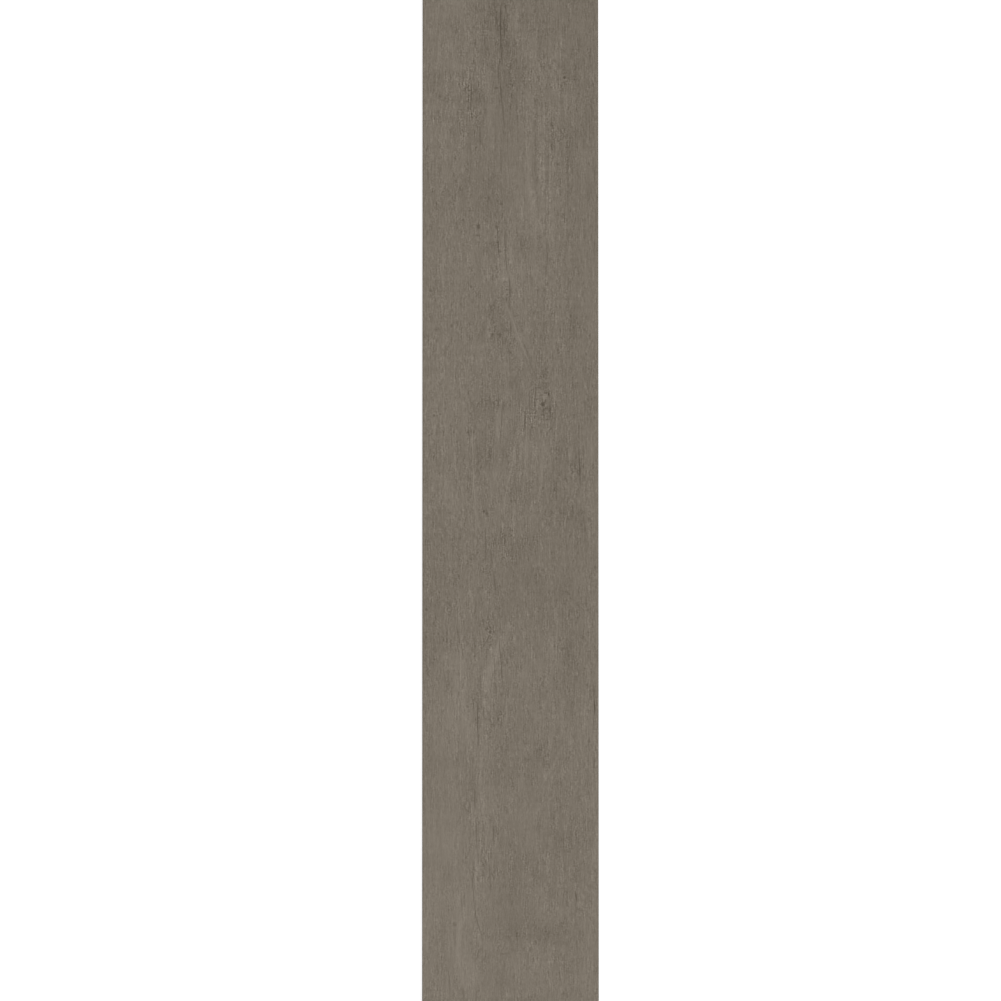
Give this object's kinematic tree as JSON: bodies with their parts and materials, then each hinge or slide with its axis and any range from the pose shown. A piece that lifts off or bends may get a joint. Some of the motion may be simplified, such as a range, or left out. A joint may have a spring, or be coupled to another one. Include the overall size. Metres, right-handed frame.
{
  "type": "wood look porcelain plank tile",
  "caption": "Long, narrow porcelain floor tile with a matt wood grain face, ground square edges and a ribbed back for the adhesive.",
  "frame": {"origin": "middle of the bedding plane, the plane that the ribs of the back stand on", "axes": "+Z out of the printed face, +Y along the plank, +X across it"},
  "size_m": [0.2, 1.2, 0.0095],
  "materials": {
    "porcelain": "matt, with the grey-brown print and fine relief of wood grain on its face, and bare fired body on its edges and back"
  },
  "bodies": {
    "root": {"plank_tile": "porcelain"}
  },
  "joints": []
}
